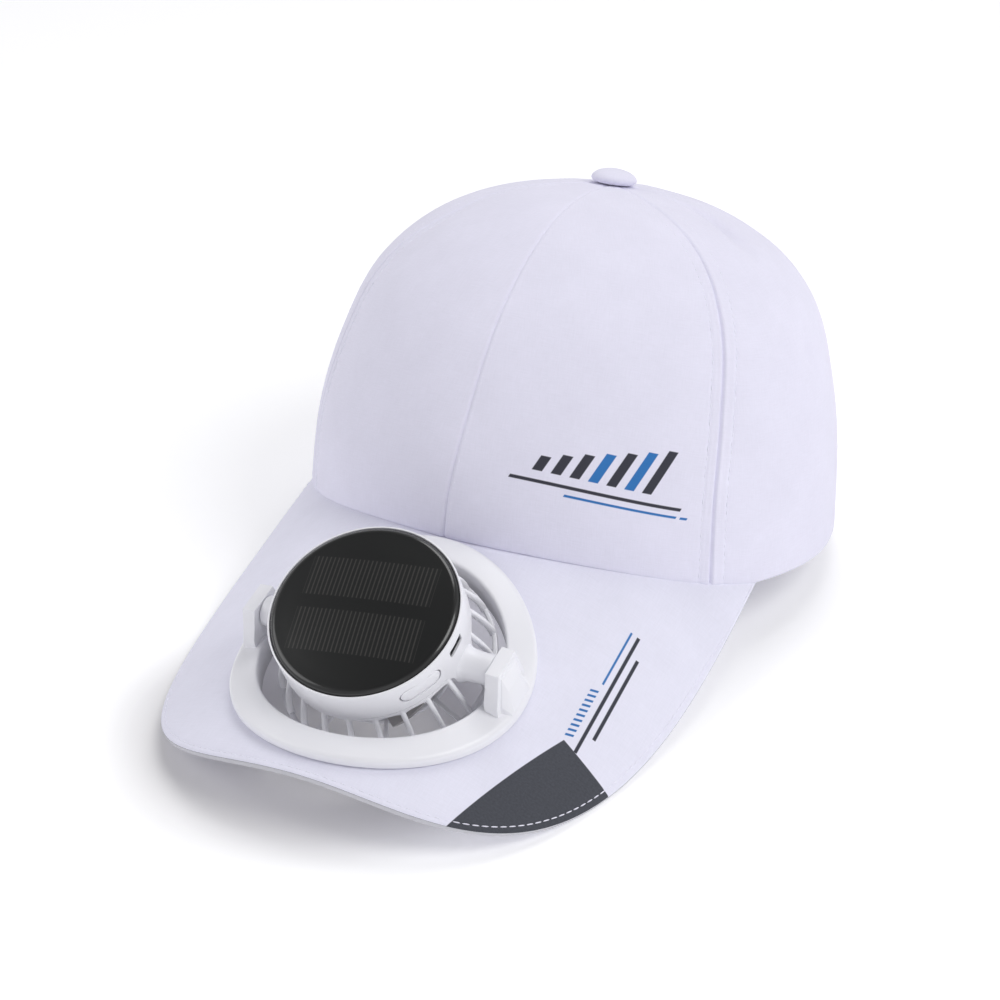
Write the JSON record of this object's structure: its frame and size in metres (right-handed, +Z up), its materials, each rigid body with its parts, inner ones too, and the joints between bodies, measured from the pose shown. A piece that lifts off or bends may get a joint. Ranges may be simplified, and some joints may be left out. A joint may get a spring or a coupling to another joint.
{
  "type": "solar fan hat",
  "caption": "Six-panel cap with an arched peak that carries a tilting round fan under a black solar disc, and an adjuster strap across the arch at the back.",
  "frame": {"origin": "on the surface that the hat rests on, under the middle of its bounding box", "axes": "+Z up, -Y the way the wearer faces, +X to the wearer's left"},
  "size_m": [0.1878, 0.295, 0.1269],
  "materials": {
    "cloth": "white cotton, fine plain weave",
    "brim_cloth": "white cotton over a board",
    "white_plastic": "white, satin",
    "black_gloss": "near-black, clear gloss over fine cell lines",
    "grey_plastic": "light grey, satin",
    "port_metal": "plated"
  },
  "bodies": {
    "cap": {"front_left_panel": "cloth", "front_right_panel": "cloth", "side_left_panel": "cloth", "side_right_panel": "cloth", "back_left_panel": "cloth", "back_right_panel": "cloth", "crown_button": "cloth", "adjuster_strap": "cloth", "brim": "brim_cloth", "mount_ring": "white_plastic", "retaining_ring": "white_plastic"},
    "fan_head": {"head_shell": "white_plastic", "solar_panel": "black_gloss", "fan_cage": "white_plastic", "fan_motor": "grey_plastic", "charging_port": "port_metal"},
    "impeller": {"impeller": "grey_plastic"},
    "power_button": {"power_button": "white_plastic"}
  },
  "joints": [
    {"name": "head_tilt", "type": "hinge", "parent": "cap", "child": "fan_head", "pos_m": [0, -0.09699, 0.03676], "axis": [1, 0, 0], "range_deg": [-60, 45]},
    {"name": "impeller_spin", "type": "hinge", "parent": "fan_head", "child": "impeller", "pos_m": [0, -0.09699, 0.03676], "axis": [0, -0.4693, 0.8831], "continuous": true},
    {"name": "power_press", "type": "slide", "parent": "fan_head", "child": "power_button", "axis": [-0.8387, 0.4809, 0.2556], "range_m": [0, 0.0008], "stiffness_N_per_m": 300}
  ]
}
